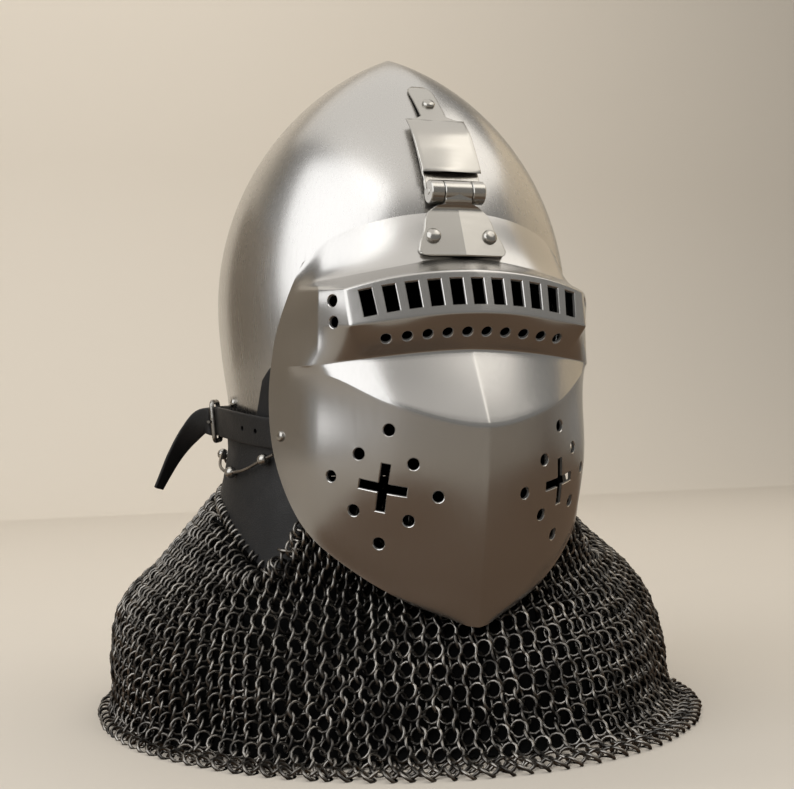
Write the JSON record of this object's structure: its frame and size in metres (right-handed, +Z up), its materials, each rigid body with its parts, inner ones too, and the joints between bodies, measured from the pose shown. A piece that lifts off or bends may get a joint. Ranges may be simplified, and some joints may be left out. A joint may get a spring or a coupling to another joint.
{
  "type": "bascinet helmet with hinged visor and mail aventail",
  "caption": "Pointed steel bascinet with a brow-hinged visor, sight box and breaths, a leather neck band, a buckled strap and a spreading mail curtain.",
  "frame": {"origin": "on the table, at the centre of the mail's hem and so of the whole object's outline", "axes": "+Z up, the face looks along -Y, +X to the wearer's left"},
  "size_m": [0.37, 0.4, 0.404],
  "materials": {
    "polished_steel": "hand-raised steel, satin polished, with faint scratches",
    "hinge_steel": "filed and satin polished steel plate",
    "rivet_steel": "domed polished steel",
    "wire_steel": "bare steel wire, a little dulled",
    "buckle_steel": "bare steel wire, polished",
    "black_leather": "vegetable-tanned leather, dyed black, matt",
    "strap_leather": "black strap leather with a slight sheen",
    "mail_steel": "blackened round steel wire rings, bright where they rub"
  },
  "bodies": {
    "helm": {"skull": "polished_steel", "skull_leaf": "hinge_steel", "leaf_cover": "hinge_steel", "hinge_pin": "hinge_steel", "leaf_rivet": "rivet_steel", "strap_rivet_right": "rivet_steel", "strap_rivet_left": "rivet_steel", "skull_rivet": "rivet_steel", "leather_band": "black_leather", "vervelle_01": "rivet_steel", "vervelle_02": "rivet_steel", "vervelle_03": "rivet_steel", "vervelle_04": "rivet_steel", "vervelle_05": "rivet_steel", "vervelle_06": "rivet_steel", "vervelle_07": "rivet_steel", "vervelle_08": "rivet_steel", "vervelle_09": "rivet_steel", "vervelle_10": "rivet_steel", "vervelle_11": "rivet_steel", "vervelle_12": "rivet_steel", "vervelle_13": "rivet_steel", "vervelle_wire": "wire_steel", "strap_front": "strap_leather", "strap_back": "strap_leather", "buckle_frame": "buckle_steel", "buckle_tongue": "buckle_steel", "mail": "mail_steel"},
    "visor": {"visor": "polished_steel", "visor_leaf": "hinge_steel", "visor_leaf_rivet_right": "rivet_steel", "visor_leaf_rivet_left": "rivet_steel", "visor_cheek_rivet_right": "rivet_steel", "visor_cheek_rivet_left": "rivet_steel"}
  },
  "joints": [
    {"name": "visor_hinge", "type": "hinge", "parent": "helm", "child": "visor", "pos_m": [0, -0.1156, 0.306], "axis": [-1, 0, 0], "range_deg": [0, 110]}
  ]
}
